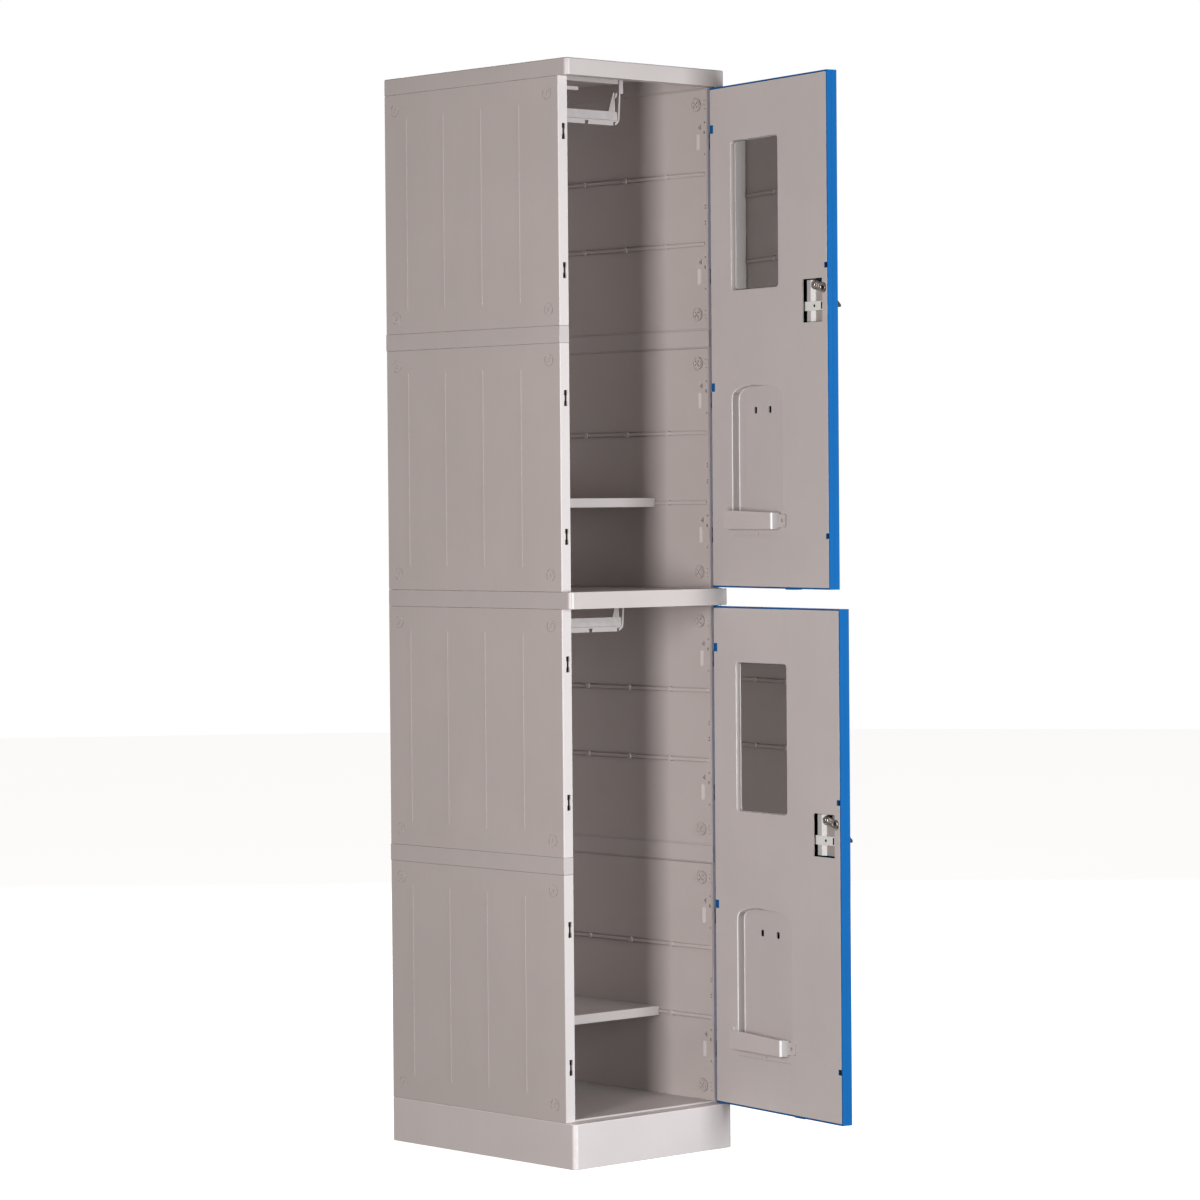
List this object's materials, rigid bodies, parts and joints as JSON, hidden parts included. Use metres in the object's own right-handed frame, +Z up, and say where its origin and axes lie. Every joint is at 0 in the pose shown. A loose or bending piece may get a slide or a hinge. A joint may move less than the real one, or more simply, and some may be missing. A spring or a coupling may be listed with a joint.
{
  "type": "school locker",
  "caption": "Tall plastic locker with stacked compartments, each with a hinged door, a mirror, a shelf on side rails and a rail for coat hangers.",
  "frame": {"origin": "on the floor, under the middle of the carcass, at the middle of the plinth's underside", "axes": "+X to the right seen from the front, where the doors' hinges are; +Y to the back; +Z up"},
  "size_m": [0.382, 0.8545, 1.94],
  "materials": {
    "grey_plastic": "warm grey moulded boards with a fine satin grain",
    "pale_plastic": "slightly paler moulded frames, shelves and rails, satin",
    "blue_plastic": "bright blue moulded door pans, semi-gloss",
    "white_plastic": "white clip in the lock",
    "dark_plastic": "dark door pulls",
    "mirror": "silvered mirror glass",
    "chrome": "bright plated lock parts",
    "steel": "plain steel pins and cams"
  },
  "bodies": {
    "carcass": {"base_plinth": "pale_plastic", "floor_panel": "pale_plastic", "divider_panel": "pale_plastic", "top_panel": "pale_plastic", "back_board_1": "grey_plastic", "left_outer_board_1": "grey_plastic", "left_inner_board_1": "grey_plastic", "right_outer_board_1": "grey_plastic", "right_inner_board_1": "grey_plastic", "back_board_2": "grey_plastic", "left_outer_board_2": "grey_plastic", "left_inner_board_2": "grey_plastic", "right_outer_board_2": "grey_plastic", "right_inner_board_2": "grey_plastic", "back_board_3": "grey_plastic", "left_outer_board_3": "grey_plastic", "left_inner_board_3": "grey_plastic", "right_outer_board_3": "grey_plastic", "right_inner_board_3": "grey_plastic", "back_board_4": "grey_plastic", "left_outer_board_4": "grey_plastic", "left_inner_board_4": "grey_plastic", "right_outer_board_4": "grey_plastic", "right_inner_board_4": "grey_plastic", "left_joint_strip_lower": "pale_plastic", "right_joint_strip_lower": "pale_plastic", "back_joint_strip_lower": "pale_plastic", "lower_hanger_rail": "pale_plastic", "lower_hinge_pin_bottom": "steel", "lower_hinge_pin_top": "steel", "left_joint_strip_upper": "pale_plastic", "right_joint_strip_upper": "pale_plastic", "back_joint_strip_upper": "pale_plastic", "upper_hanger_rail": "pale_plastic", "upper_hinge_pin_bottom": "steel", "upper_hinge_pin_top": "steel"},
    "upper_door": {"upper_door_shell": "blue_plastic", "upper_door_liner": "grey_plastic", "upper_door_mirror": "mirror", "upper_umbrella_bar": "pale_plastic", "upper_lock_case": "chrome", "upper_lock_clip": "white_plastic", "upper_door_pull": "dark_plastic"},
    "upper_lock": {"upper_lock_barrel": "chrome", "upper_lock_cam": "steel", "upper_lock_nut": "chrome"},
    "upper_shelf": {"upper_shelf": "pale_plastic"},
    "lower_door": {"lower_door_shell": "blue_plastic", "lower_door_liner": "grey_plastic", "lower_door_mirror": "mirror", "lower_umbrella_bar": "pale_plastic", "lower_lock_case": "chrome", "lower_lock_clip": "white_plastic", "lower_door_pull": "dark_plastic"},
    "lower_lock": {"lower_lock_barrel": "chrome", "lower_lock_cam": "steel", "lower_lock_nut": "chrome"},
    "lower_shelf": {"lower_shelf": "pale_plastic"}
  },
  "joints": [
    {"name": "upper_door_hinge", "type": "hinge", "parent": "carcass", "child": "upper_door", "pos_m": [0.179, -0.238, 1.012], "axis": [0, 0, 1], "range_deg": [-79, 91]},
    {"name": "lower_door_hinge", "type": "hinge", "parent": "carcass", "child": "lower_door", "pos_m": [0.179, -0.238, 0.082], "axis": [0, 0, 1], "range_deg": [-82, 88]},
    {"name": "upper_lock_turn", "type": "hinge", "parent": "upper_door", "child": "upper_lock", "pos_m": [0.11746, -0.55458, 1.54], "axis": [-0.9816, 0.1908, 0], "range_deg": [-90, 0]},
    {"name": "lower_lock_turn", "type": "hinge", "parent": "lower_door", "child": "lower_lock", "pos_m": [0.13412, -0.55736, 0.61], "axis": [-0.9903, 0.1392, 0], "range_deg": [-90, 0]},
    {"name": "upper_shelf_slide", "type": "slide", "parent": "carcass", "child": "upper_shelf", "axis": [0, -1, 0], "range_m": [0, 0.14]},
    {"name": "lower_shelf_slide", "type": "slide", "parent": "carcass", "child": "lower_shelf", "axis": [0, -1, 0], "range_m": [0, 0.14]}
  ]
}
